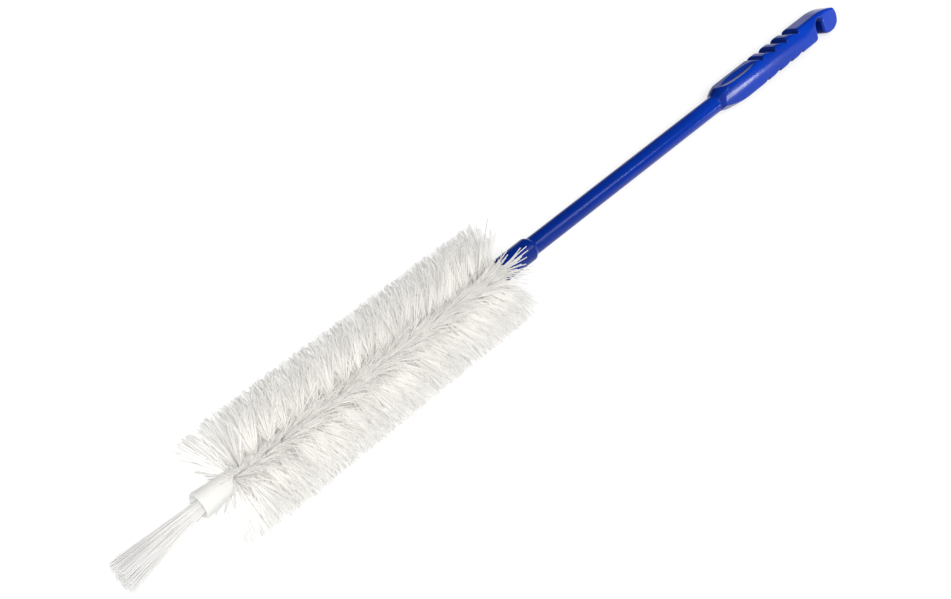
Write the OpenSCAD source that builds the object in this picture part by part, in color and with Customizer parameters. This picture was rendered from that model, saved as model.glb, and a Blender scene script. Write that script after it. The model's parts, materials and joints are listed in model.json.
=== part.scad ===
// Bottle brush: a drilled white core with rows of nylon tufts, a long end tuft,
// and a moulded handle with a ribbed grip and a hanging hook.
// It lies at rest on the bristles and the grip. X runs from the tip to the hook, and Z is up.

/* [Bristle body] */
// Trimmed diameter over the bristles
bristle_d = 50; // [42:1:60]
// Rings of tufts along the core
ring_count = 39; // [20:1:45]
// Distance from one ring to the next
ring_pitch = 4; // [3.6:0.1:5]
// Tufts in each ring
tufts_per_ring = 4; // [3:1:4]
// Turn of the first row of tufts about the core
row_turn = 32; // [0:1:45]
// How far the bristles of the first ring lean out over the cup
cup_splay = 6; // [0:0.5:10]
// How far the bristles of the last ring lean out over the handle
handle_splay = 9; // [0:0.5:13]
// How deep the floor presses into the resting bristles
floor_press = 1.2; // [0.6:0.1:2]

/* [Core] */
// Diameter of the core
core_d = 8.8; // [8:0.1:11]
// Diameter of the cup at the tip
cup_d = 11.4; // [10.8:0.1:13]
// Length of the tapered cup
cup_l = 14; // [10:0.5:16]
// From the tip face of the core to the first ring
first_ring_x = 17.2; // [17:0.1:22]
// From the last ring to the rim of the handle
last_land = 3; // [2.5:0.1:5]
// Diameter of the drilled tuft holes
hole_d = 2.2; // [1.8:0.1:2.4]
// Depth of the drilled tuft holes
hole_depth = 3; // [2.6:0.1:3.1]
// Diameter of the spigot that seats in the handle
spigot_d = 7.6; // [6.5:0.1:8]
// Length of the spigot
spigot_l = 18; // [12:0.5:22]

/* [Staples] */
// Height of each flat wire staple
staple_h = 1.1; // [0.8:0.1:1.3]
// Thickness of each flat wire staple
staple_t = 0.35; // [0.25:0.05:0.5]
// Bristle left under a staple, where the tuft folds round it
fold_h = 0.6; // [0.4:0.1:0.8]

/* [End tuft] */
// Length of the end tuft beyond the cup
end_tuft_l = 37.5; // [25:0.5:45]
// Diameter of the end tuft where it leaves the cup
end_tuft_root_d = 5; // [4:0.1:5.6]
// Diameter of the end tuft at its cut end
end_tuft_tip_d = 12.4; // [9:0.1:16]
// Angle by which the end tuft leans to one side
end_tuft_lean = 3; // [0:0.5:8]
// Depth of the hole that holds the end tuft
end_hole_depth = 11; // [8:0.5:12]

/* [Shaft] */
// Diameter of the shaft at the collar
shaft_d = 9; // [8:0.1:10.4]
// Diameter of the shaft at the grip
shaft_end_d = 9.4; // [8.6:0.1:10.8]
// Length of the shaft from the collar to the grip
shaft_l = 146.5; // [90:0.5:200]
// Diameter of the collar at its rim
collar_rim_d = 11.3; // [10.6:0.1:12.4]
// Diameter of the collar at its step
collar_step_d = 11.5; // [11:0.1:13]
// Length of the collar
collar_l = 21; // [20:0.5:30]

/* [Grip] */
// Length of the grip with its hook
grip_l = 113.5; // [104:0.5:130]
// Width of the grip across its ribbed sides
grip_w = 13.8; // [12.8:0.1:16]
// Thickness of the grip between its smooth faces
grip_t = 12; // [11:0.1:14]
// Radius of the long edges of the grip
grip_r = 2.6; // [2:0.1:3.4]
// Turn of the grip about the shaft as it lies
grip_roll = 60; // [40:1:80]
// Angle between the grip and the line of the shaft
grip_lean = 0.5; // [0:0.1:2]
// Ribs cut in each side
rib_count = 4; // [3:1:5]
// Distance between ribs
rib_pitch = 11.4; // [9:0.1:12]
// Depth of the cut between ribs
rib_depth = 2.4; // [0.8:0.1:2.4]
// Length of the thumb rest
thumb_l = 35; // [20:1:38]
// Width of the thumb rest
thumb_w = 9.4; // [6:0.1:10]
// Depth of the thumb rest
thumb_depth = 1.4; // [0.5:0.1:1.8]
// Length of the domed shoulder where the grip swells out of the shaft
shoulder_l = 12; // [8:1:20]
// Length over which the lower side flares out of the shaft
flare_l = 24; // [14:1:32]
// Length of the domed end of the hook
nose_l = 15; // [10:1:24]
// Width of the hanging slot
slot_w = 5.8; // [5:0.1:8]
// Material left behind the slot
slot_neck = 2.7; // [2.4:0.1:5]
// Rake of the slot from its mouth back towards the brush
slot_rake = 0; // [0:1:7]

/* [Hidden] */
// Radial clearance of the push fits
seat_gap = 0.05;

bristle_r = bristle_d / 2;
core_r = core_d / 2;
shaft_r = shaft_d / 2;
shaft_end_r = shaft_end_d / 2;

// Stations along the brush axis, from the tip face of the core
last_ring = first_ring_x + (ring_count - 1) * ring_pitch;
rim_x = last_ring + last_land;
step_x = rim_x + collar_l;
grip_x = step_x + shaft_l;
end_x = grip_x + grip_l;

// The hook: run of its upper arc, and the arcs of its three sides
hook_l = 18;
hook_x = end_x - hook_l;
slot_back = 0.9;
slot_x = hook_x - slot_back;
top_arc = 45;
low_arc = 12;
low_back = 8.4;
low_x = end_x - low_back;
nose_drop = 0.7;
end_arc = 7.5;
end_drop = 1.1;
spare = 4;

end_bore_d = end_tuft_root_d + 2 * seat_gap;
socket_d = spigot_d + 2 * seat_gap;
socket_l = spigot_l + 1;

// Grip details
side = grip_w / 2;
face = grip_t / 2;
reach = norm([side - grip_r, face - grip_r]) + grip_r + 0.3;
nose_end = 6.2;
crown_h = 0.6;
flare_turn = 28;
flare_from = 3.2;
flare_reach = (side - grip_r) * cos(flare_turn) + (face - grip_r) * sin(flare_turn) + grip_r;
thumb_x = grip_x + 4 + thumb_l / 2;
thumb_turn = 12;
thumb_lift = (thumb_w * thumb_w / 4 - thumb_depth * thumb_depth) / (2 * thumb_depth);
thumb_arc = (thumb_l * thumb_l / 4 + thumb_depth * thumb_depth) / (2 * thumb_depth);
thumb_reach = (side - grip_r) * cos(thumb_turn) + (face - grip_r) * sin(thumb_turn) + grip_r;
first_rib = thumb_x + thumb_l / 2 + 1.6;
rib_nose = 2.8;
rib_fall = rib_pitch - rib_nose;
rib_crest = 0.15;
rib_drop = rib_depth + rib_crest;
rib_arc = (rib_fall * rib_fall + rib_drop * rib_drop) / (2 * rib_drop);
rib_lead = rib_fall / 2;
lead_arc = (rib_lead * rib_lead + rib_drop * rib_drop) / (2 * rib_drop);
taper_l = 34;
head_thin = 1.4;
slot_ease = 1.2;
mouth_ease = 4;
slot_in = side - slot_neck - slot_w / 2;
mouth_x = slot_x + (slot_in + side) * tan(slot_rake) - slot_w / 2 / cos(slot_rake);
ease_z = face - 0.3 - slot_ease;

// Tuft details
hole_floor = core_r - hole_depth;
mouth_r = hole_d / 2 - seat_gap;
split_h = 4;
split_r = core_r + split_h;
split_spread = mouth_r + 0.25;
foot_r = mouth_r - (split_spread - mouth_r) * hole_depth / split_h;
cell_gap = 0.25;
root_sides = 8;
heart_sides = 4;
heart_turn = 22.5;
cell_turn = 360 / (2 * tufts_per_ring);
tip_shake = 0.32;

// How the brush lies: the last rings and the foot of the grip touch the floor
rest_x = last_ring + ring_pitch / 2;
rest_r = bristle_r - floor_press;
grip_drop = (side + nose_drop - grip_r) * sin(grip_roll) + (face - grip_r) * cos(grip_roll) + grip_r;
head_rise = (low_x - grip_x) * sin(grip_lean) * sin(grip_roll);
rest_tilt = atan((rest_r - grip_drop + head_rise) / (low_x - rest_x));
lift = rest_x * sin(rest_tilt) + rest_r * cos(rest_tilt);
mid_x = ((end_x - end_tuft_l - 0.4) * cos(rest_tilt) - end_tuft_tip_d / 2 * sin(rest_tilt)) / 2;

// End tuft details: the lean points down and to the front, and the staple is a flat plate
lean_turn = 35.6;
lean_way = [-cos(lean_turn), -sin(lean_turn)];
end_fold = 1.2;
end_staple_h = 2.6;
end_staple_t = 0.6;

blue = [0.02, 0.1, 0.62];
white = [0.95, 0.95, 0.9];
nylon = [0.96, 0.96, 0.97];
steel = [0.72, 0.72, 0.74];

function ring_name(i) = str("tuft_ring_", i < 9 ? "0" : "", i + 1);
rings = [for (i = [0 : ring_count - 1]) i];

// Lays a piece that is drawn along its own axis down on the floor
module laid() {
    translate([-mid_x, 0, lift]) rotate([0, rest_tilt, 0]) children();
}

// Height over the floor of a point given along the brush axis
function floor_height(p) = lift - p[0] * sin(rest_tilt) + p[2] * cos(rest_tilt);

// A bristle from a to b, cut short where it meets the floor
function on_floor(a, b) = floor_height(b) >= 0 ? b
    : a + (b - a) * floor_height(a) / (floor_height(a) - floor_height(b));

// Turn about the axis of tuft j in ring i, with every second ring between the rows
function tuft_turn(i, j) = row_turn + (2 * j + i % 2) * cell_turn;

// A point at a distance from the axis, a turn about it and a place along it
function polar(x, r, a) = [x, -r * sin(a), r * cos(a)];

module core() {
    color(white) laid() difference() {
        rotate([0, 90, 0]) rotate_extrude($fn = 96) polygon([
            [0, 0], [cup_d / 2 - 0.5, 0], [cup_d / 2, 0.5], [cup_d / 2, 1.6],
            [core_r, cup_l], [core_r, rim_x], [spigot_d / 2, rim_x],
            [spigot_d / 2, rim_x + spigot_l - 1], [spigot_d / 2 - 1, rim_x + spigot_l],
            [0, rim_x + spigot_l]]);
        for (i = rings) for (j = [0 : tufts_per_ring - 1])
            rotate([tuft_turn(i, j), 0, 0]) translate([first_ring_x + i * ring_pitch, 0, hole_floor])
                cylinder(h = bristle_r, d = hole_d, $fn = 24);
        rotate([0, 90, 0]) {
            translate([0, 0, -1]) cylinder(h = end_hole_depth + 1, d = end_bore_d, $fn = 48);
            translate([0, 0, -0.01]) cylinder(h = 1.5, d1 = cup_d - 2.4, d2 = end_tuft_root_d, $fn = 48);
        }
    }
}

// Flat staples that hold the folded tufts down in their holes
module tuft_staples() {
    color(steel) laid()
        for (i = rings) for (j = [0 : tufts_per_ring - 1])
            rotate([tuft_turn(i, j), 0, 0]) translate([first_ring_x + i * ring_pitch, 0, hole_floor])
                staple(hole_d - 2 * seat_gap);
}

module staple(w, gap = 0) {
    translate([-staple_t / 2 - gap, -w / 2, fold_h - gap])
        cube([staple_t + 2 * gap, w, staple_h + 2 * gap]);
}

// Corners of a ring of n points at radius r
function ring_points(n, r, turn = 0) = [for (k = [0 : n - 1]) [r * cos(k * 360 / n + turn), r * sin(k * 360 / n + turn)]];

// Cells that divide the round root of a tuft: each one grows into a bristle
heart = ring_points(heart_sides, 0.5, heart_turn);
rim = ring_points(root_sides, 1);
root_plan = concat(rim, heart);
cells = concat(
    [for (k = [0 : root_sides - 1]) [k, (k + 1) % root_sides, root_sides + floor(k / 2) % heart_sides]],
    [for (k = [0 : heart_sides - 1]) [root_sides + k, (2 * k + 2) % root_sides, root_sides + (k + 1) % heart_sides]],
    [[8, 9, 10], [8, 10, 11]]);

function middle(c) = (root_plan[c[0]] + root_plan[c[1]] + root_plan[c[2]]) / 3;

// One tuft: a foot in the hole, a trunk, and bristles that spread to fill its own cell
module tuft(i, j) {
    x = first_ring_x + i * ring_pitch;
    turn = tuft_turn(i, j);
    out_lo = i == 0 ? cup_splay : i == 1 ? cup_splay / 2 : 0;
    out_hi = i == ring_count - 1 ? handle_splay : i == ring_count - 2 ? handle_splay / 2 : 0;
    shake = rands(-tip_shake, tip_shake, 3 * len(cells), 17 * i + j + 1);
    foot = [for (p = rim) root_point(x, turn, hole_floor, p, foot_r)];
    split = [for (p = root_plan) root_point(x, turn, split_r, p, split_spread)];
    tips = [for (k = [0 : len(cells) - 1])
        let (m = middle(cells[k]),
             sx = max(-1, min(1, m[0] / 0.74)),
             sy = max(-1, min(1, m[1] / 0.74)),
             lean = sx < 0 ? out_lo * -sx : out_hi * sx,
             half = ring_pitch - cell_gap - tip_shake,
             tx = x + sx * half + (sx < 0 ? -lean : lean) + shake[3 * k],
             ta = turn + sy * (cell_turn / 2 - 1.6) + shake[3 * k + 1] * 2,
             tr = sqrt(pow(bristle_r - core_r, 2) - pow(lean, 2)) + core_r + min(0, 2 * shake[3 * k + 2]))
        on_floor(polar(x, core_r, turn), polar(tx, tr, ta))];
    nr = len(rim);
    np = len(root_plan);
    points = concat(foot, split, tips);
    faces = concat(
        [[for (k = [0 : nr - 1]) k]],
        [for (k = [0 : nr - 1]) each [[k, nr + k, (k + 1) % nr], [(k + 1) % nr, nr + k, nr + (k + 1) % nr]]],
        [for (k = [0 : len(cells) - 1]) each [for (e = [0 : 2])
            [nr + cells[k][e], nr + np + k, nr + cells[k][(e + 1) % 3]]]]);
    difference() {
        polyhedron(points, faces);
        rotate([turn, 0, 0]) translate([x, 0, hole_floor]) staple(hole_d, seat_gap / 2);
    }
}

// A point of the root disc of a tuft at a distance r from the axis, for a disc of radius s
function root_point(x, turn, r, p, s) = [x + s * p[0],
    -r * sin(turn) - s * p[1] * cos(turn), r * cos(turn) - s * p[1] * sin(turn)];

module tuft_ring(i) {
    color(nylon) laid() for (j = [0 : tufts_per_ring - 1]) tuft(i, j);
}

// The end tuft is a bundle of round rows of bristles that open out towards the cut end
bundle_rows = 6;
bundle_split = -0.8;
bundle_plan = [[0, 0], for (r = [1 : bundle_rows]) each ring_points(6 * r, r / bundle_rows)];
function row_start(r) = r == 0 ? 0 : 1 + 3 * r * (r - 1);
function row_point(r, k) = r == 0 ? 0 : row_start(r) + k % (6 * r);
bundle_cells = [for (r = [1 : bundle_rows], s = [0 : 5]) each concat(
    [for (k = [0 : r - 1]) [row_point(r, s * r + k), row_point(r, s * r + k + 1), row_point(r - 1, s * (r - 1) + k)]],
    r == 1 ? [] : [for (k = [0 : r - 2])
        [row_point(r, s * r + k + 1), row_point(r - 1, s * (r - 1) + k + 1), row_point(r - 1, s * (r - 1) + k)]])];

module end_tuft() {
    n = 6 * bundle_rows;
    first = row_start(bundle_rows);
    np = len(bundle_plan);
    rr = end_tuft_root_d / 2;
    shift = end_tuft_l * tan(end_tuft_lean);
    fray = rands(-1, 1, 3 * len(bundle_cells), 5);
    foot = [for (k = [first : np - 1]) [end_hole_depth, rr * bundle_plan[k][0], rr * bundle_plan[k][1]]];
    split = [for (p = bundle_plan) [-bundle_split, rr * p[0], rr * p[1]]];
    ends = [for (k = [0 : len(bundle_cells) - 1])
        let (c = bundle_cells[k],
             m = (bundle_plan[c[0]] + bundle_plan[c[1]] + bundle_plan[c[2]]) / 3,
             stray = norm(m) > 0.88 && fray[3 * k] > 0.8 ? 1.35 : 1)
        for (e = [0 : 2])
            let (q = (m * stray + (bundle_plan[c[e]] - m) * 0.5
                      + 0.025 * [fray[3 * k + 1], fray[3 * k + 2]]) * end_tuft_tip_d / 2)
            [-end_tuft_l + 0.4 * fray[3 * k], q[0] + shift * lean_way[0], q[1] + shift * lean_way[1]]];
    points = concat(foot, split, ends);
    faces = concat(
        [[for (k = [0 : n - 1]) n - 1 - k]],
        [for (k = [0 : n - 1]) let (k2 = (k + 1) % n, s = n + first)
            each [[k, k2, s + k], [k2, s + k2, s + k]]],
        [for (k = [0 : len(bundle_cells) - 1]) let (t = n + np + 3 * k, c = bundle_cells[k])
            each concat([[t, t + 1, t + 2]],
                [for (e = [0 : 2]) let (f = (e + 1) % 3) each [[n + c[e], n + c[f], t + e], [n + c[f], t + f, t + e]]])]);
    color(nylon) laid() difference() {
        polyhedron(points, faces);
        end_staple_plate(seat_gap / 2);
    }
}

module end_staple_plate(gap = 0) {
    translate([end_hole_depth - end_fold - end_staple_h - gap, -end_bore_d, -end_staple_t / 2 - gap])
        cube([end_staple_h + 2 * gap, 2 * end_bore_d, end_staple_t + 2 * gap]);
}

// Flat staple that holds the folded end tuft in the cup
module end_staple() {
    color(steel) laid() intersection() {
        end_staple_plate();
        rotate([0, 90, 0]) cylinder(h = end_hole_depth, d = end_tuft_root_d, $fn = 48);
    }
}

// Cross-section of the grip, with a slight crown on its two smooth faces
module grip_section() {
    crown_r = (side * side + crown_h * crown_h) / (2 * crown_h);
    intersection() {
        union() {
            square([grip_w - 2 * grip_r, grip_t], center = true);
            square([grip_w, grip_t - 2 * grip_r], center = true);
            for (u = [-1, 1]) for (v = [-1, 1])
                translate([u * (side - grip_r), v * (face - grip_r)]) circle(r = grip_r, $fn = 48);
        }
        translate([0, face - crown_r]) circle(r = crown_r, $fn = 180);
        translate([0, crown_r - face]) circle(r = crown_r, $fn = 180);
    }
}

// Side view of what the long arc of the lower flare cuts off
module flare_cut() {
    rise = flare_reach - shaft_end_r;
    run = flare_l - flare_from;
    r = (run * run + rise * rise) / (2 * rise);
    difference() {
        translate([grip_x - spare, -flare_reach - spare]) square([flare_l + spare, rise + spare]);
        translate([grip_x + flare_l, r - flare_reach]) circle(r = r, $fn = 180);
    }
}

// Turned dome that swells from radius a to radius b over a length
module dome(a, b, l) {
    rise = b - a;
    r = (l * l + rise * rise) / (2 * rise);
    rotate([0, 90, 0]) rotate_extrude($fn = 180) intersection() {
        translate([b - r, l]) circle(r = r, $fn = 180);
        square([b + 1, l]);
    }
}

// Envelope that rounds the shoulder and the hook of the grip
module envelope() {
    translate([grip_x, 0, 0]) dome(shaft_end_r, reach, shoulder_l);
    translate([grip_x + shoulder_l, 0, 0]) rotate([0, 90, 0])
        cylinder(h = grip_l - shoulder_l - nose_l, r = reach, $fn = 180);
    translate([end_x, -end_drop, 0]) mirror([1, 0, 0]) dome(nose_end, reach + nose_drop, nose_l);
}

// Arc that thins the grip from its full thickness to the end of the hook
module thin_cut(way) {
    r = (taper_l * taper_l + head_thin * head_thin) / (2 * head_thin);
    difference() {
        translate([end_x - taper_l, way > 0 ? face - head_thin - 1 : -face - spare])
            square([taper_l + spare, head_thin + spare + 1]);
        translate([end_x - taper_l, way * (face - r)]) circle(r = r, $fn = 360);
    }
}

// Disc as thick as the grip, with the same rounded edge
module disc(r) {
    rotate_extrude($fn = 180) {
        translate([0, -face]) square([r - grip_r, grip_t]);
        translate([0, grip_r - face]) square([r, grip_t - 2 * grip_r]);
        for (v = [-1, 1]) translate([r - grip_r, v * (face - grip_r)]) circle(r = grip_r, $fn = 48);
    }
}

// Bar with the grip's cross-section, and the hook where the arcs of its upper side, lower side and end meet
module grip_blank() {
    translate([grip_x, 0, 0]) rotate([90, 0, 90]) linear_extrude(hook_x - grip_x) grip_section();
    intersection() {
        translate([hook_x, side - top_arc, 0]) disc(top_arc);
        translate([low_x, low_arc - side - nose_drop, 0]) disc(low_arc);
        union() {
            translate([end_x - end_arc, -end_drop, 0]) disc(end_arc);
            translate([hook_x, -2 * grip_w, -grip_t]) cube([hook_l - end_arc, 4 * grip_w, 2 * grip_t]);
        }
    }
}

// Shell-shaped ribs: each has a round nose towards the tip and falls back slowly to the next
module rib_cut(x, l) {
    translate([0, 0, -grip_t]) linear_extrude(2 * grip_t) difference() {
        translate([x, side - rib_depth]) square([l, rib_depth + spare]);
        translate([x + rib_nose, side + rib_crest - rib_nose]) circle(r = rib_nose, $fn = 48);
        intersection() {
            translate([x + rib_nose, side + rib_crest - rib_arc]) circle(r = rib_arc, $fn = 180);
            translate([x + rib_nose, -side]) square([rib_pitch, 3 * side]);
        }
    }
}

// The ribs down one side, after a short run down to the first
module rib_cuts() {
    for (k = [0 : rib_count - 1])
        rib_cut(first_rib + k * rib_pitch, k < rib_count - 1 ? rib_pitch : rib_nose);
    translate([0, 0, -grip_t]) linear_extrude(2 * grip_t) difference() {
        translate([first_rib - rib_lead, side - rib_depth]) square([rib_lead, rib_depth + spare]);
        translate([first_rib - rib_lead, side + rib_crest - lead_arc]) circle(r = lead_arc, $fn = 180);
    }
}

// Thumb rest: a shallow barrel-shaped hollow on the upper side
module thumb_rest() {
    translate([thumb_x, 0, 0]) rotate([thumb_turn, 0, 0]) translate([0, thumb_reach + thumb_lift, 0])
        rotate([0, 90, 0]) rotate_extrude($fn = 96) intersection() {
            translate([thumb_lift + thumb_depth - thumb_arc, 0]) circle(r = thumb_arc, $fn = 360);
            translate([0, -thumb_l]) square([grip_w, 2 * thumb_l]);
        }
}

// Open slot with a round end and eased edges, so the brush can hang on a wire
module hanging_slot() {
    translate([mouth_x, -side, -grip_t]) rotate([0, 0, 45])
        translate([-mouth_ease / 2, -mouth_ease / 2, 0]) cube([mouth_ease, mouth_ease, 2 * grip_t]);
    translate([slot_x, slot_in, 0]) rotate([0, 0, slot_rake]) {
        translate([0, 0, -grip_t]) cylinder(h = 2 * grip_t, d = slot_w, $fn = 48);
        translate([-slot_w / 2, -grip_w, -grip_t]) cube([slot_w, grip_w, 2 * grip_t]);
        for (w = [0, 1]) mirror([0, 0, w]) {
            translate([0, 0, ease_z]) cylinder(h = slot_ease + 1, d1 = slot_w, d2 = slot_w + 2 * slot_ease + 2, $fn = 48);
            translate([0, 0, ease_z]) rotate([90, 0, 0]) linear_extrude(grip_w) polygon([
                [-slot_w / 2, 0], [slot_w / 2, 0],
                [slot_w / 2 + slot_ease + 1, slot_ease + 1], [-slot_w / 2 - slot_ease - 1, slot_ease + 1]]);
        }
    }
}

module grip() {
    intersection() {
        difference() {
            grip_blank();
            for (w = [-1, 1]) rotate([w * flare_turn, 0, 0]) translate([0, 0, -grip_t])
                linear_extrude(2 * grip_t) flare_cut();
            rib_cuts();
            mirror([0, 1, 0]) rib_cuts();
            rotate([90, 0, 0]) translate([0, 0, -grip_w]) linear_extrude(2 * grip_w)
                for (w = [-1, 1]) thin_cut(w);
            thumb_rest();
            hanging_slot();
        }
        envelope();
    }
}

module handle() {
    color(blue) laid() difference() {
        union() {
            rotate([0, 90, 0]) rotate_extrude($fn = 96) polygon([
                [0, rim_x], [collar_rim_d / 2 - 0.4, rim_x], [collar_rim_d / 2, rim_x + 0.4],
                [collar_step_d / 2, step_x - 1.5], [shaft_r, step_x], [shaft_end_r, grip_x + shoulder_l],
                [0, grip_x + shoulder_l]]);
            rotate([grip_roll, 0, 0]) translate([grip_x, 0, 0]) rotate([0, 0, grip_lean])
                translate([-grip_x, 0, 0]) grip();
        }
        translate([rim_x - 1, 0, 0]) rotate([0, 90, 0]) cylinder(h = socket_l + 1, d = socket_d, $fn = 64);
    }
}

handle();
core();
tuft_staples();
end_tuft();
end_staple();
for (i = rings) tuft_ring(i);
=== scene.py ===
import json
import math
import bmesh
import bpy
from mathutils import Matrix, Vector

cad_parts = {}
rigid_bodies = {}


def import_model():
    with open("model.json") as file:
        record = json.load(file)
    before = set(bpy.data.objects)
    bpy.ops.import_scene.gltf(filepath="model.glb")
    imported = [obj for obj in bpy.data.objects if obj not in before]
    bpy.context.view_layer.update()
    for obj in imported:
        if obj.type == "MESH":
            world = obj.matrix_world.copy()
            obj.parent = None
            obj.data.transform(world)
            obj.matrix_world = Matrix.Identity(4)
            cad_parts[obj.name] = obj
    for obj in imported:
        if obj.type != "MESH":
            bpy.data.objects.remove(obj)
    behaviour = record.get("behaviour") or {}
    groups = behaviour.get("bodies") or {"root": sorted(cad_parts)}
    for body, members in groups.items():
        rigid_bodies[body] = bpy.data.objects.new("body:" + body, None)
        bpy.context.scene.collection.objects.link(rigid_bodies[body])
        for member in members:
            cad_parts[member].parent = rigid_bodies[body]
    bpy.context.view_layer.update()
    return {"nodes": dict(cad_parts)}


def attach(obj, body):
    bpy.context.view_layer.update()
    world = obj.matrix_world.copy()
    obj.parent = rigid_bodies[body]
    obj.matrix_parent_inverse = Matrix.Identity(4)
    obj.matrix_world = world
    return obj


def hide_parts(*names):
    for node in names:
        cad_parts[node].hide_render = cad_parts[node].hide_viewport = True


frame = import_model()
print("frame loaded:", len(frame["nodes"]), "nodes")

mm = 0.001

# how the brush lies: stations run along its axis from the tip face of the core, in mm and degrees
lay = dict(tilt=3.33934, midX=207.117, lift=33.7319)

# camera

camera = dict(lens=51.10, sensor=36.0, place=(-0.3477661, -0.2609453, 0.4573306), heading=48.63366, dip=47.99759)


def makeCamera():
    data = bpy.data.cameras.new("camera")
    data.lens = camera["lens"]
    data.sensor_width = camera["sensor"]
    data.clip_start = 0.01
    obj = bpy.data.objects.new("camera", data)
    obj.location = camera["place"]
    obj.rotation_euler = (math.radians(90 - camera["dip"]), 0, math.radians(-camera["heading"]))
    bpy.context.scene.collection.objects.link(obj)
    bpy.context.scene.camera = obj


makeCamera()
print("camera placed")

# small helpers for node trees


def addNode(tree, kind, inputs=None, **settings):
    made = tree.nodes.new(kind)
    for name, value in settings.items():
        setattr(made, name, value)
    for key, value in (inputs or {}).items():
        socket = made.inputs[key]
        if isinstance(value, bpy.types.NodeSocket):
            tree.links.new(value, socket)
        else:
            socket.default_value = value
    return made


def math2(tree, operation, a, b=0.0):
    return addNode(tree, "ShaderNodeMath", {0: a, 1: b}, operation=operation).outputs[0]


def vec2(tree, operation, a, b):
    return addNode(tree, "ShaderNodeVectorMath", {0: a, 1: b}, operation=operation).outputs[0]


def scaled(tree, vector, factor):
    return addNode(tree, "ShaderNodeVectorMath", {0: vector, "Scale": factor}, operation="SCALE").outputs[0]


def vector3(tree, x, y, z):
    return addNode(tree, "ShaderNodeCombineXYZ", {0: x, 1: y, 2: z}).outputs[0]


def spread(tree, value, low, high, toLow, toHigh):
    return addNode(tree, "ShaderNodeMapRange", {0: value, 1: low, 2: high, 3: toLow, 4: toHigh}).outputs[0]


def easeBetween(tree, value, start, end):
    return addNode(tree, "ShaderNodeMapRange", {0: value, 1: start, 2: end}, interpolation_type="SMOOTHSTEP").outputs[0]


# materials


def newMaterial(name):
    material = bpy.data.materials.new(name)
    material.use_nodes = True
    tree = material.node_tree
    tree.nodes.clear()
    return material, tree


def objectCoords(tree, scale=(1, 1, 1)):
    coords = addNode(tree, "ShaderNodeTexCoord").outputs["Object"]
    return addNode(tree, "ShaderNodeMapping", {"Vector": coords, "Scale": scale}).outputs[0]


def noise(tree, coords, scale, detail):
    return addNode(tree, "ShaderNodeTexNoise", {"Vector": coords, "Scale": scale, "Detail": detail}).outputs[0]


# a noise stays near its middle, so these spans of it are stretched to the full range
noiseMiddle = (0.35, 0.65)
noiseMost = (0.3, 0.7)


def mixColour(tree, factor, a, b):
    made = addNode(tree, "ShaderNodeMix", {"Factor": factor}, data_type="RGBA")
    for socket, value in ((made.inputs[6], a), (made.inputs[7], b)):
        if isinstance(value, bpy.types.NodeSocket):
            tree.links.new(value, socket)
        else:
            socket.default_value = value
    return made.outputs[2]


def setSurface(tree, shader):
    addNode(tree, "ShaderNodeOutputMaterial", {"Surface": shader.outputs[0]})


handleFinish = dict(blue=(0.0004, 0.024, 0.26, 1), deep=(0.0003, 0.020, 0.22, 1), ior=1.25,
                    rough=0.15, roughSpread=0.03, mottle=45.0, orangePeel=420.0, peelBump=0.03, peelDepth=0.0004,
                    scuff=1400.0, scuffStretch=0.12, scuffSpan=(0.55, 0.75), scuffRough=0.05, scuffBump=0.02,
                    scuffDepth=0.0002)


def handlePlastic():
    f = handleFinish
    material, tree = newMaterial("handlePlastic")
    coords = objectCoords(tree)
    mottle = noise(tree, coords, f["mottle"], 3.0)
    peel = noise(tree, coords, f["orangePeel"], 2.0)
    # fine scuffs run along the handle
    lines = noise(tree, objectCoords(tree, (f["scuffStretch"], 1, 1)), f["scuff"], 2.0)
    colour = mixColour(tree, spread(tree, mottle, *noiseMiddle, 0.0, 1.0), f["blue"], f["deep"])
    rough = math2(tree, "ADD",
                  spread(tree, mottle, *noiseMost, f["rough"] - f["roughSpread"], f["rough"] + f["roughSpread"]),
                  spread(tree, lines, *f["scuffSpan"], 0.0, f["scuffRough"]))
    bump = addNode(tree, "ShaderNodeBump",
                   {"Height": peel, "Strength": f["peelBump"], "Distance": f["peelDepth"]}).outputs[0]
    bump = addNode(tree, "ShaderNodeBump", {"Height": lines, "Normal": bump, "Strength": f["scuffBump"],
                                            "Distance": f["scuffDepth"]}).outputs[0]
    setSurface(tree, addNode(tree, "ShaderNodeBsdfPrincipled",
                             {"Base Color": colour, "Roughness": rough, "Normal": bump, "IOR": f["ior"]}))
    return material


coreFinish = dict(white=(0.67, 0.665, 0.64, 1), warm=(0.63, 0.625, 0.60, 1), ior=1.5, rough=0.3, roughSpread=0.05,
                  mottle=90.0, peel=700.0, peelBump=0.05, peelDepth=0.0003)


def corePlastic():
    f = coreFinish
    material, tree = newMaterial("corePlastic")
    coords = objectCoords(tree)
    mottle = noise(tree, coords, f["mottle"], 4.0)
    peel = noise(tree, coords, f["peel"], 2.0)
    colour = mixColour(tree, spread(tree, mottle, *noiseMiddle, 0.0, 1.0), f["white"], f["warm"])
    rough = spread(tree, mottle, *noiseMost, f["rough"] - f["roughSpread"], f["rough"] + f["roughSpread"])
    bump = addNode(tree, "ShaderNodeBump",
                   {"Height": peel, "Strength": f["peelBump"], "Distance": f["peelDepth"]}).outputs[0]
    setSurface(tree, addNode(tree, "ShaderNodeBsdfPrincipled",
                             {"Base Color": colour, "Roughness": rough, "Normal": bump, "IOR": f["ior"]}))
    return material


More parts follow.
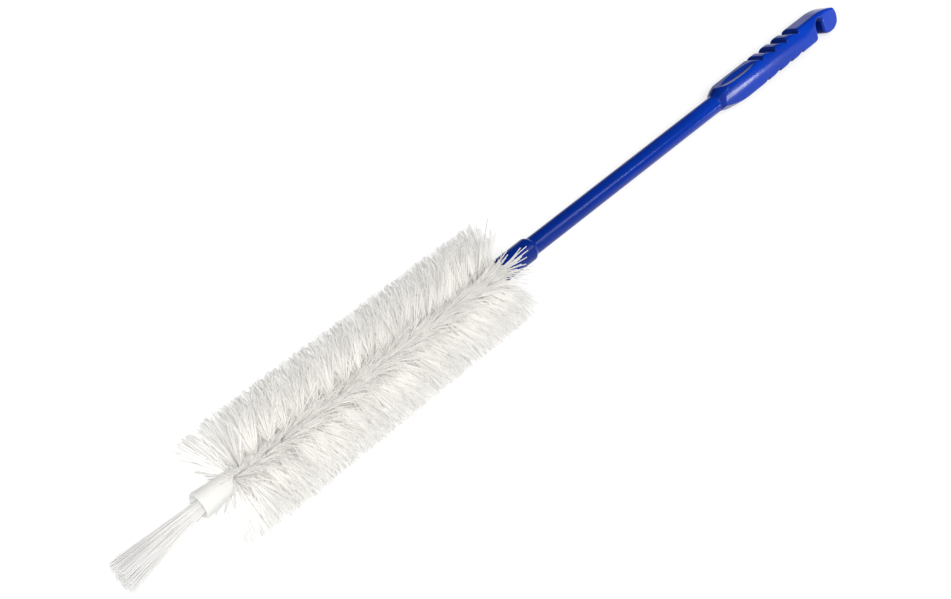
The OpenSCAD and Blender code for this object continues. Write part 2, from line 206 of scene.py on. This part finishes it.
# from bright filaments to a few dull ones, the darkest of them painted shade standing for the gaps between strands; all
# of them nearing the darker tip colour towards the cut end, which is painted shade on the outer parts of the bristle
# mass
nylonFinish = dict(bright=(0.995, 0.987, 0.975, 1), dullAndShaded=(0.56, 0.555, 0.545, 1), tip=(0.905, 0.898, 0.885, 1),
                   paintedShadeStart=0.35, share=0.7, uneven=6.5, rough=0.4, roughSpread=0.06, grain=900.0, ior=1.53,
                   # the last value is a painted glow that the filaments give off
                   glow=0.55, paintedGlow=0.265)
endFinish = dict(bright=(0.95, 0.945, 0.93, 1), dullAndShaded=(0.84, 0.835, 0.83, 1), tip=(0.90, 0.895, 0.89, 1),
                 paintedShadeStart=0.35, share=0.9, uneven=3.0, rough=0.35, roughSpread=0.06, grain=900.0, ior=1.53,
                 # the last value is a painted glow that the filaments give off
                 glow=0.45, paintedGlow=0.05)


def nylonBristle(name, f):
    material, tree = newMaterial(name)
    shade = addNode(tree, "ShaderNodeAttribute", attribute_name="shade").outputs["Fac"]
    along = addNode(tree, "ShaderNodeAttribute", attribute_name="along").outputs["Fac"]
    # a few filaments drawn dark at random: partly their own tone, partly painted shade for the gaps between strands
    colour = mixColour(tree, math2(tree, "POWER", shade, f["uneven"]), f["bright"], f["dullAndShaded"])
    # towards the cut end each filament nears the darker tip colour: painted shade on the outer parts of the bristle
    # mass
    colour = mixColour(tree, spread(tree, along, f["paintedShadeStart"], 1.0, 0.0, f["share"]), colour, f["tip"])
    fine = noise(tree, objectCoords(tree), f["grain"], 1.0)
    rough = spread(tree, fine, *noiseMost, f["rough"] - f["roughSpread"], f["rough"] + f["roughSpread"])
    surface = addNode(tree, "ShaderNodeBsdfPrincipled", {"Base Color": colour, "Roughness": rough, "IOR": f["ior"]})
    through = addNode(tree, "ShaderNodeBsdfTranslucent", {"Color": colour})
    both = addNode(tree, "ShaderNodeMixShader", {0: f["glow"], 1: surface.outputs[0], 2: through.outputs[0]})
    # painted glow: an emission along each filament, strongest at mid-length, that brightens the bristle mass like a
    # light of its own
    paintedGlow = math2(tree, "MULTIPLY", math2(tree, "SUBTRACT", 1.0, along), along)
    paintedGlow = math2(tree, "MULTIPLY", paintedGlow, f["paintedGlow"])
    inside = addNode(tree, "ShaderNodeEmission", {"Color": f["bright"], "Strength": paintedGlow})
    setSurface(tree, addNode(tree, "ShaderNodeAddShader", {0: both.outputs[0], 1: inside.outputs[0]}))
    return material


stapleFinish = dict(steel=(0.62, 0.61, 0.59, 1), dark=(0.42, 0.41, 0.39, 1), rough=0.32, roughSpread=0.08,
                    drawn=1500.0, drawnStretch=8, drawnSpan=(0.4, 0.7))


def stapleWire():
    f = stapleFinish
    material, tree = newMaterial("stapleWire")
    drawn = noise(tree, objectCoords(tree, (1, 1, f["drawnStretch"])), f["drawn"], 2.0)
    colour = mixColour(tree, spread(tree, drawn, *f["drawnSpan"], 0.0, 1.0), f["steel"], f["dark"])
    rough = spread(tree, drawn, *noiseMost, f["rough"] - f["roughSpread"], f["rough"] + f["roughSpread"])
    setSurface(tree, addNode(tree, "ShaderNodeBsdfPrincipled",
                             {"Base Color": colour, "Roughness": rough, "Metallic": 1.0}))
    return material


handleMaterial = handlePlastic()
coreMaterial = corePlastic()
nylonMaterial = nylonBristle("nylonBristle", nylonFinish)
endMaterial = nylonBristle("endBristle", endFinish)
stapleMaterial = stapleWire()
print("materials made")

# geometry node trees


def newTree(name, sizes):
    tree = bpy.data.node_groups.new(name, "GeometryNodeTree")
    tree.interface.new_socket("Geometry", in_out="OUTPUT", socket_type="NodeSocketGeometry")
    kinds = {int: "NodeSocketInt", float: "NodeSocketFloat"}
    for label, value in sizes.items():
        tree.interface.new_socket(label, in_out="INPUT", socket_type=kinds[type(value)])
    tree.interface.new_socket("Finish", in_out="INPUT", socket_type="NodeSocketMaterial")
    entry = tree.nodes.new("NodeGroupInput")
    return tree, {s.name: s for s in entry.outputs if s.name}


def runTree(name, tree, sizes, material):
    carrier = bpy.data.objects.new(name + "Carrier", bpy.data.meshes.new(name + "Carrier"))
    bpy.context.scene.collection.objects.link(carrier)
    modifier = carrier.modifiers.new("nodes", "NODES")
    modifier.node_group = tree
    for item in tree.interface.items_tree:
        if item.item_type == "SOCKET" and item.in_out == "INPUT":
            modifier[item.identifier] = material if item.name == "Finish" else sizes[item.name]
    carrier.update_tag()
    view = bpy.context.evaluated_depsgraph_get()
    mesh = bpy.data.meshes.new_from_object(carrier.evaluated_get(view), depsgraph=view)
    carrier.modifiers.clear()
    bpy.data.objects.remove(carrier)
    mesh.name = name
    piece = bpy.data.objects.new(name, mesh)
    bpy.context.scene.collection.objects.link(piece)
    return piece


def chance(tree, ident, seed, low=0.0, high=1.0):
    return addNode(tree, "FunctionNodeRandomValue", {2: low, 3: high, "ID": ident, "Seed": seed},
                   data_type="FLOAT").outputs[1]


def keep(tree, geometry, name, kind, value):
    made = addNode(tree, "GeometryNodeStoreNamedAttribute",
                   {"Geometry": geometry, "Name": name}, data_type=kind, domain="POINT")
    socket = [s for s in made.inputs if s.name == "Value" and s.enabled][0]
    tree.links.new(value, socket)
    return made.outputs[0]


def recall(tree, name, kind):
    made = addNode(tree, "GeometryNodeInputNamedAttribute", {"Name": name}, data_type=kind)
    return [s for s in made.outputs if s.name == "Attribute" and s.enabled][0]


# turns points into bristles: each one grows from root along way, and bends off by bend towards its tip
def growBristles(tree, points, values, size, segments, sides):
    for name in ("root", "way", "bend"):
        points = keep(tree, points, name, "FLOAT_VECTOR", values[name])
    points = keep(tree, points, "shade", "FLOAT", values["shade"])
    line = addNode(tree, "GeometryNodeCurvePrimitiveLine", {"Start": (0, 0, 0), "End": (0, 0, 1)}).outputs[0]
    line = addNode(tree, "GeometryNodeResampleCurve", {"Curve": line, "Count": segments}).outputs[0]
    placed = addNode(tree, "GeometryNodeInstanceOnPoints", {"Points": points, "Instance": line}).outputs[0]
    strands = addNode(tree, "GeometryNodeRealizeInstances", {"Geometry": placed}).outputs[0]
    along = addNode(tree, "GeometryNodeSplineParameter").outputs["Factor"]
    strands = keep(tree, strands, "along", "FLOAT", along)
    root, way, bend = [recall(tree, name, "FLOAT_VECTOR") for name in ("root", "way", "bend")]
    place = vec2(tree, "ADD", root, scaled(tree, way, along))
    place = vec2(tree, "ADD", place, scaled(tree, bend, math2(tree, "POWER", along, 2.0)))
    laid = addNode(tree, "ShaderNodeVectorRotate",
                   {"Vector": place, "Axis": (0, 1, 0), "Angle": math.radians(lay["tilt"])},
                   rotation_type="AXIS_ANGLE").outputs[0]
    laid = vec2(tree, "ADD", laid, (-lay["midX"], 0, lay["lift"]))
    # no bristle goes through the floor
    parts = addNode(tree, "ShaderNodeSeparateXYZ", {0: laid})
    height = math2(tree, "MAXIMUM", parts.outputs[2], math2(tree, "MULTIPLY", size["Thickness"], 0.5))
    metres = scaled(tree, vector3(tree, parts.outputs[0], parts.outputs[1], height), mm)
    strands = addNode(tree, "GeometryNodeSetPosition", {"Geometry": strands, "Position": metres}).outputs[0]
    radius = math2(tree, "MULTIPLY", size["Thickness"], 0.5 * mm)
    ring = addNode(tree, "GeometryNodeCurvePrimitiveCircle", {"Resolution": sides, "Radius": radius}).outputs[0]
    tubes = addNode(tree, "GeometryNodeCurveToMesh",
                    {"Curve": strands, "Profile Curve": ring, "Fill Caps": True}).outputs[0]
    tubes = addNode(tree, "GeometryNodeSetShadeSmooth", {"Geometry": tubes}).outputs[0]
    done = addNode(tree, "GeometryNodeRealizeInstances", {"Geometry": tubes}).outputs[0]
    done = addNode(tree, "GeometryNodeSetMaterial", {"Geometry": done, "Material": size["Finish"]}).outputs[0]
    addNode(tree, "NodeGroupOutput", {0: done})


# bristle body: rings of tufts, each tuft a fan of bristles out of one drilled hole.
# Lengths are in mm, fans, leans and turns in degrees; each piece gets its own First Ring and Rings.

bristleBody = {
    "First Ring": 0, "Rings": 10, "Last Ring": 38, "Ring Pitch": 4.0, "Start": 17.2,
    "Tufts": 4, "Row Turn": 32.0, "Bristles": 44, "Thickness": 0.42,
    "Core Radius": 4.4, "Body Radius": 25.0, "Hole Radius": 0.95, "Hole Depth": 2.2,
    "Fan": 9.0, "Side Fan": 9.6, "Tuft Lean": 3.0, "Tuft Side Lean": 2.0,
    "Stray Share": 0.035, "Stray Widen Least": 0.8, "Stray Widen Most": 2.2, "Stray Curl": 2.2, "Wave": 0.75,
    "Parting": 12.0, "Parting Turn": 9.5,
    "Splay Fade": 0.45, "Cup Splay": 20.0, "Cup Splay Change": 0.3, "Handle Splay": -3.0,
    "Collar Clear": 15.0, "Collar Strands": 0.08, "Collar Lean Least": 12.0, "Collar Lean Most": 34.0,
    "Lean Least": -38.0, "Lean Most": 58.0, "Side Lean Most": 34.0,
    "Foot Spread": 1.7, "Trim": 0.3, "Cut Short": -0.9, "Cut Long": 0.35,
}


def bristleTree():
    tree, size = newTree("bristleRings", bristleBody)
    m = lambda operation, a, b=0.0: math2(tree, operation, a, b)
    perRing = m("MULTIPLY", size["Tufts"], size["Bristles"])
    points = addNode(tree, "GeometryNodePoints", {"Count": m("MULTIPLY", perRing, size["Rings"])}).outputs[0]
    index = addNode(tree, "GeometryNodeInputIndex").outputs[0]
    index = m("ADD", index, m("MULTIPLY", size["First Ring"], perRing))
    ring = m("FLOOR", m("DIVIDE", m("ADD", index, 0.5), perRing))
    inRing = m("SUBTRACT", index, m("MULTIPLY", ring, perRing))
    tuft = m("FLOOR", m("DIVIDE", m("ADD", inRing, 0.5), size["Bristles"]))
    tuftIndex = m("ADD", m("MULTIPLY", ring, 7.0), tuft)  # a number of its own for every tuft

    minus = lambda value: m("MULTIPLY", value, -1.0)
    draw = lambda seed, low=0.0, high=1.0: chance(tree, index, seed, low, high)
    tuftDraw = lambda seed, high: chance(tree, tuftIndex, seed, minus(high), high)
    within = lambda value, most: m("MINIMUM", m("MAXIMUM", value, minus(most)), most)

    # close to a bell curve, from -3 to 3
    def bellDraw(seed):
        total = m("ADD", m("ADD", draw(seed), draw(seed + 1)), draw(seed + 2))
        return m("MULTIPLY", m("SUBTRACT", total, 1.5), 2.0)

    # every second ring is turned by half the angle within tufts
    odd = m("MODULO", ring, 2.0)
    turn = m("MULTIPLY", m("ADD", m("MULTIPLY", tuft, 2.0), odd), m("DIVIDE", math.pi, size["Tufts"]))
    turn = m("ADD", turn, m("RADIANS", size["Row Turn"]))
    sine, cosine = m("SINE", turn), m("COSINE", turn)

    # lean along the brush: the fan of the tuft, with the first rings over the cup and the last off the collar
    fanX, fanY = bellDraw(11), bellDraw(21)
    stray = m("LESS_THAN", draw(31), size["Stray Share"])
    widen = m("ADD", 1.0, m("MULTIPLY", stray, draw(32, size["Stray Widen Least"], size["Stray Widen Most"])))
    towardCup = m("POWER", size["Splay Fade"], ring)
    towardHandle = m("POWER", size["Splay Fade"], m("SUBTRACT", size["Last Ring"], ring))
    lean = m("MULTIPLY", m("MULTIPLY", fanX, size["Fan"]), widen)
    lean = m("ADD", lean, tuftDraw(41, size["Tuft Lean"]))
    upward = m("COSINE", m("SUBTRACT", turn, m("RADIANS", m("SUBTRACT", size["Row Turn"], 90.0))))
    change = m("ADD", m("SUBTRACT", 1.0, size["Cup Splay Change"]), m("MULTIPLY", upward, size["Cup Splay Change"]))
    lean = m("SUBTRACT", lean, m("MULTIPLY", m("MULTIPLY", size["Cup Splay"], change), towardCup))
    lean = m("ADD", lean, m("MULTIPLY", size["Handle Splay"], towardHandle))
    overCollar = m("MULTIPLY", m("LESS_THAN", draw(33), size["Collar Strands"]), m("POWER", towardHandle, 2.0))
    lean = m("ADD", lean, m("MULTIPLY", overCollar, draw(34, size["Collar Lean Least"], size["Collar Lean Most"])))
    facing = m("MAXIMUM", m("COSINE", m("SUBTRACT", turn, m("RADIANS", size["Row Turn"]))), 0.0)
    lean = m("SUBTRACT", lean, m("MULTIPLY", m("MULTIPLY", facing, towardHandle), size["Collar Clear"]))
    lean = m("RADIANS", m("MINIMUM", m("MAXIMUM", lean, size["Lean Least"]), size["Lean Most"]))

    # lean round the brush, away from the parting
    sideLean = m("MULTIPLY", m("MULTIPLY", fanY, size["Side Fan"]), widen)
    sideLean = m("ADD", sideLean, tuftDraw(42, size["Tuft Side Lean"]))
    fromParting = m("SUBTRACT", turn, m("RADIANS", size["Parting Turn"]))
    sideLean = m("SUBTRACT", sideLean, m("MULTIPLY", size["Parting"], m("SINE", fromParting)))
    sideLean = m("RADIANS", within(sideLean, size["Side Lean Most"]))

    # length to the trimmed outline, a little longer where a bristle leans
    foot = m("SUBTRACT", size["Core Radius"], size["Hole Depth"])
    steep = m("COSINE", lean)
    reachOut = m("DIVIDE", 1.0, m("MAXIMUM", steep, 0.5))
    share = m("ADD", m("MULTIPLY", reachOut, size["Trim"]), m("SUBTRACT", 1.0, size["Trim"]))
    length = m("MULTIPLY", m("SUBTRACT", size["Body Radius"], foot), share)
    length = m("ADD", length, draw(51, size["Cut Short"], size["Cut Long"]))

    # axes of the tuft: out of the core, and round it
    out = vector3(tree, 0.0, minus(sine), cosine)
    side = vector3(tree, 0.0, cosine, sine)
    gap = m("MULTIPLY", size["Hole Radius"], 0.5)
    footX = m("MULTIPLY", within(fanX, size["Foot Spread"]), gap)
    footY = m("MULTIPLY", within(fanY, size["Foot Spread"]), gap)
    station = m("ADD", size["Start"], m("ADD", m("MULTIPLY", ring, size["Ring Pitch"]), footX))
    root = vec2(tree, "ADD", scaled(tree, out, foot), scaled(tree, side, footY))
    root = vec2(tree, "ADD", root, vector3(tree, station, 0.0, 0.0))
    way = vec2(tree, "ADD", scaled(tree, out, m("MULTIPLY", steep, m("COSINE", sideLean))),
               vector3(tree, m("SINE", lean), 0.0, 0.0))
    way = vec2(tree, "ADD", way, scaled(tree, side, m("MULTIPLY", steep, m("SINE", sideLean))))
    wave = m("MULTIPLY", m("ADD", 1.0, m("MULTIPLY", stray, size["Stray Curl"])), size["Wave"])
    bendX, bendY = m("MULTIPLY", bellDraw(61), wave), m("MULTIPLY", bellDraw(71), wave)
    bend = vec2(tree, "ADD", scaled(tree, side, bendY), vector3(tree, bendX, 0.0, 0.0))
    values = dict(root=root, way=scaled(tree, way, length), bend=bend, shade=draw(81))
    growBristles(tree, points, values, size, segments=6, sides=4)
    return tree


def makeBristles():
    tree = bristleTree()
    total = bristleBody["Last Ring"] + 1
    parts = 4
    first = 0
    for number in range(parts):
        count = (total - first) // (parts - number)
        sizes = dict(bristleBody)
        sizes.update({"First Ring": first, "Rings": count})
        piece = runTree("bristleRings%d" % (number + 1), tree, sizes, nylonMaterial)
        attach(piece, "root")
        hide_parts(*["tuft_ring_%02d" % (ring + 1) for ring in range(first, first + count)])
        print("bristles", number + 1, "rings", first + 1, "to", first + count, len(piece.data.polygons), "faces")
        first += count


makeBristles()

# end tuft: one bundle out of the cup, opening out to a cut end. Lengths in mm, leans in degrees, Tip Turn in radians.

endTuft = {
    "Bristles": 320, "Thickness": 0.38, "Depth": 9.0, "Length": 38.2, "Root Radius": 1.9, "Tip Radius": 6.9,
    "Lean": 5.0, "Lean Turn": 35.6, "Ragged": 0.5, "Spread Least": 0.8, "Spread Most": 1.08, "Tip Turn": 0.35,
    "Stray Share": 0.04, "Stray Reach": 0.22, "Ease": 0.34, "Wave": 0.4,
}


def endTuftTree():
    tree, size = newTree("endTuft", endTuft)
    m = lambda operation, a, b=0.0: math2(tree, operation, a, b)
    points = addNode(tree, "GeometryNodePoints", {"Count": size["Bristles"]}).outputs[0]
    index = addNode(tree, "GeometryNodeInputIndex").outputs[0]

    draw = lambda seed, low=0.0, high=1.0: chance(tree, index, seed, low, high)
    minus = lambda value: m("MULTIPLY", value, -1.0)
    either = lambda seed, high: draw(seed, minus(high), high)

    # a spiral of roots fills the hole evenly
    goldenTurn = 2.39996
    share = m("SQRT", m("DIVIDE", m("ADD", index, 0.5), size["Bristles"]))
    turn = m("MULTIPLY", index, goldenTurn)
    stray = m("LESS_THAN", draw(5), size["Stray Share"])
    tipShare = m("ADD", m("MULTIPLY", share, draw(6, size["Spread Least"], size["Spread Most"])),
                 m("MULTIPLY", stray, size["Stray Reach"]))
    tipTurn = m("ADD", turn, either(7, size["Tip Turn"]))
    rootReach = m("MULTIPLY", share, size["Root Radius"])
    tipReach = m("MULTIPLY", tipShare, size["Tip Radius"])
    shift = m("MULTIPLY", size["Length"], m("TANGENT", m("RADIANS", size["Lean"])))
    leanTurn = m("RADIANS", size["Lean Turn"])
    root = vector3(tree, size["Depth"], m("MULTIPLY", rootReach, m("COSINE", turn)),
                   m("MULTIPLY", rootReach, m("SINE", turn)))
    cutEnd = m("ADD", minus(size["Length"]), m("MULTIPLY", size["Ragged"], draw(8, -1.0, 1.0)))
    tipY = m("SUBTRACT", m("MULTIPLY", tipReach, m("COSINE", tipTurn)), m("MULTIPLY", shift, m("COSINE", leanTurn)))
    tipZ = m("SUBTRACT", m("MULTIPLY", tipReach, m("SINE", tipTurn)), m("MULTIPLY", shift, m("SINE", leanTurn)))
    tip = vector3(tree, cutEnd, tipY, tipZ)
    # inside the cup the bristles run straight, so the spread is bent towards the cut end
    span = vec2(tree, "SUBTRACT", tip, root)
    sideways = scaled(tree, vec2(tree, "MULTIPLY", span, (0, 1, 1)), size["Ease"])
    way = vec2(tree, "SUBTRACT", span, sideways)
    bend = vec2(tree, "ADD", sideways, vector3(tree, 0.0, either(9, size["Wave"]), either(10, size["Wave"])))
    values = dict(root=root, way=way, bend=bend, shade=draw(11))
    growBristles(tree, points, values, size, segments=8, sides=5)
    return tree


def makeEndTuft():
    piece = runTree("endTuftBristles", endTuftTree(), endTuft, endMaterial)
    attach(piece, "root")
    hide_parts("end_tuft")
    print("end tuft made:", len(piece.data.polygons), "faces")


makeEndTuft()

# handle: a copy of the moulding with its edges eased as a moulded part has them, sizes in mm

handleShell = dict(merge=0.001, voxel=0.40, passes=9, factor=0.5)


def makeHandle():
    mesh = frame["nodes"]["handle"].data.copy()
    shell = bmesh.new()
    shell.from_mesh(mesh)
    bmesh.ops.remove_doubles(shell, verts=shell.verts, dist=handleShell["merge"] * mm)
    shell.to_mesh(mesh)
    shell.free()
    piece = bpy.data.objects.new("handleMoulding", mesh)
    bpy.context.scene.collection.objects.link(piece)
    remesh = piece.modifiers.new("remesh", "REMESH")
    remesh.mode = "VOXEL"
    remesh.voxel_size = handleShell["voxel"] * mm
    remesh.use_smooth_shade = True
    smooth = piece.modifiers.new("ease", "SMOOTH")
    smooth.factor = handleShell["factor"]
    smooth.iterations = handleShell["passes"]
    view = bpy.context.evaluated_depsgraph_get()
    eased = bpy.data.meshes.new_from_object(piece.evaluated_get(view), depsgraph=view)
    piece.modifiers.clear()
    piece.data = eased
    eased.name = "handleMoulding"
    eased.materials.clear()
    eased.materials.append(handleMaterial)
    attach(piece, "root")
    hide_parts("handle")
    print("handle made:", len(eased.polygons), "faces")


makeHandle()


# core and staples keep their own meshes

for nodeName, finish in (("core", coreMaterial), ("tuft_staples", stapleMaterial), ("end_staple", stapleMaterial)):
    for entry in frame["nodes"][nodeName].material_slots:
        entry.material = finish
print("core and staples dressed")

# floor, world and lights

# strengths of wall and room as they light the brush, and as they are mirrored in it
studio = dict(floor=(0.5, 0.5, 0.5, 1), floorHalf=4.0, glow=0.58, wall=0.8, room=0.25, wallMirrored=1.2,
              roomMirrored=0.08, wallStart=0.05, wallEdge=-0.2, wallEnd=0.6, wallFade=0.08,
              diffuseBounces=40, allBounces=48)


def makeFloor():
    half = studio["floorHalf"]
    mesh = bpy.data.meshes.new("floor")
    mesh.from_pydata([(-half, -half, 0), (half, -half, 0), (half, half, 0), (-half, half, 0)], [], [(0, 1, 2, 3)])
    floor = bpy.data.objects.new("floor", mesh)
    bpy.context.scene.collection.objects.link(floor)
    material, tree = newMaterial("floorPaper")
    paper = addNode(tree, "ShaderNodeBsdfDiffuse", {"Color": studio["floor"]})
    path = addNode(tree, "ShaderNodeLightPath")
    seen = math2(tree, "MAXIMUM", path.outputs["Is Camera Ray"], path.outputs["Is Glossy Ray"])
    seen = math2(tree, "MAXIMUM", seen, path.outputs["Is Transmission Ray"])
    glow = addNode(tree, "ShaderNodeEmission",
                   {"Color": (1, 1, 1, 1), "Strength": math2(tree, "MULTIPLY", seen, studio["glow"])})
    setSurface(tree, addNode(tree, "ShaderNodeAddShader", {0: paper.outputs[0], 1: glow.outputs[0]}))
    mesh.materials.append(material)


def makeWorld():
    world = bpy.data.worlds.new("studio")
    bpy.context.scene.world = world
    world.use_nodes = True
    tree = world.node_tree
    tree.nodes.clear()
    # a white wall on the camera's right, and a darker room behind the brush
    way = addNode(tree, "ShaderNodeTexCoord").outputs["Generated"]
    parts = addNode(tree, "ShaderNodeSeparateXYZ", {0: way})
    mirrored = addNode(tree, "ShaderNodeLightPath").outputs["Is Glossy Ray"]
    wall = spread(tree, mirrored, 0.0, 1.0, studio["wall"], studio["wallMirrored"])
    room = spread(tree, mirrored, 0.0, 1.0, studio["room"], studio["roomMirrored"])
    near = easeBetween(tree, parts.outputs[1], studio["wallStart"], studio["wallEdge"])
    reach = easeBetween(tree, parts.outputs[0], studio["wallEnd"] + studio["wallFade"], studio["wallEnd"])
    inWall = math2(tree, "MULTIPLY", near, reach)
    strength = math2(tree, "ADD", room, math2(tree, "MULTIPLY", inWall, math2(tree, "SUBTRACT", wall, room)))
    back = addNode(tree, "ShaderNodeBackground", {"Color": (1, 1, 1, 1), "Strength": strength})
    addNode(tree, "ShaderNodeOutputWorld", {"Surface": back.outputs[0]})


# lights: which pieces a softbox reaches, as black cards would set it in a studio
lamps = [
    dict(name="cameraSoftbox", place=(-0.6, -0.54, 0.85), aim=(0.0, 0.0, 0.02), size=(0.4, 0.4), watts=12.4,
         lights="brush"),
    dict(name="shaftSoftbox", place=(0.464, -0.318, 0.445), aim=(0.009, -0.003, 0.025), size=(0.16, 0.20),
         watts=0.5, lights="handle"),
    dict(name="heelSoftbox", place=(0.582, -0.413, 0.036), aim=(0.143, -0.004, 0.018), size=(0.035, 0.035),
         watts=0.18, lights="handle"),
    dict(name="gripSoftbox", place=(0.55, -0.42, 0.42), aim=(0.23, 0.0, 0.015), size=(0.20, 0.14), watts=0.62,
         lights="handle", shines=False, spread=50.0),
    dict(name="backSoftbox", place=(-0.25, 0.95, 0.75), aim=(0.0, 0.0, 0.02), size=(0.8, 0.5), watts=0.9,
         lights="all"),
]


def makeLamps():
    handleNames = ("handle", "handleMoulding")
    for lamp in lamps:
        data = bpy.data.lights.new(lamp["name"], "AREA")
        data.shape = "RECTANGLE"
        data.size, data.size_y = lamp["size"]
        data.energy = lamp["watts"]
        data.spread = math.radians(lamp.get("spread", 180.0))
        obj = bpy.data.objects.new(lamp["name"], data)
        obj.location = lamp["place"]
        aim = Vector(lamp["aim"]) - Vector(lamp["place"])
        obj.rotation_euler = aim.to_track_quat("-Z", "Y").to_euler()
        bpy.context.scene.collection.objects.link(obj)
        obj.visible_glossy = lamp.get("shines", True)
        if lamp["lights"] != "all":
            lit = bpy.data.collections.new(lamp["name"] + "Lights")
            for other in bpy.data.objects:
                if other.type == "MESH" and (other.name in handleNames) == (lamp["lights"] == "handle"):
                    lit.objects.link(other)
            obj.light_linking.receiver_collection = lit


makeFloor()
makeWorld()
makeLamps()
bpy.context.scene.view_settings.view_transform = "Standard"
bpy.context.scene.cycles.diffuse_bounces = studio["diffuseBounces"]
bpy.context.scene.cycles.max_bounces = studio["allBounces"]
print("studio ready")
